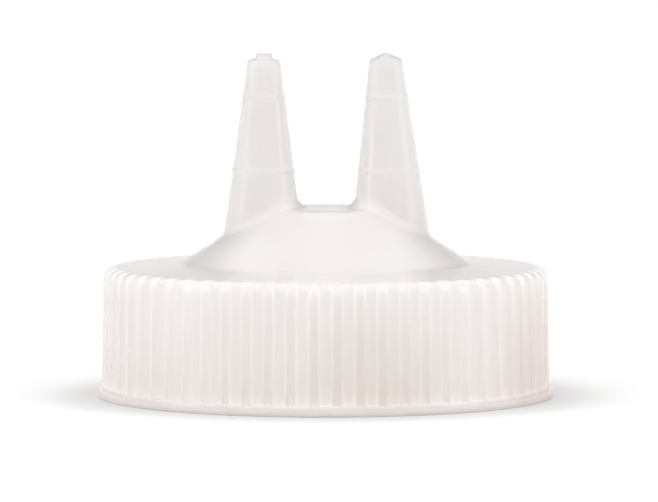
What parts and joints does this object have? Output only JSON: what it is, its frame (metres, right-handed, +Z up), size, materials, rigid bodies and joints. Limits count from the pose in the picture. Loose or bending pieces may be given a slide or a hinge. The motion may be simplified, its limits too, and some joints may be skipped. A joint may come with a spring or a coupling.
{
  "type": "squeeze bottle screw cap",
  "caption": "Ribbed wide-mouth screw cap for a squeeze bottle, with a low dome, tapered pour spouts that are cut open to size, and a sealing ring inside.",
  "frame": {"origin": "centre of the base plane, under the middle of the cap's rim", "axes": "+Z up along the cap's axis towards the spouts, +X from the left spout to the right spout, -Y towards the front"},
  "size_m": [0.07, 0.07, 0.0528],
  "materials": {
    "cap_plastic": "natural translucent white polyethylene, satin",
    "seal_foam": "soft white polyethylene foam"
  },
  "bodies": {
    "root": {"screw_cap": "cap_plastic", "sealing_ring": "seal_foam"}
  },
  "joints": []
}
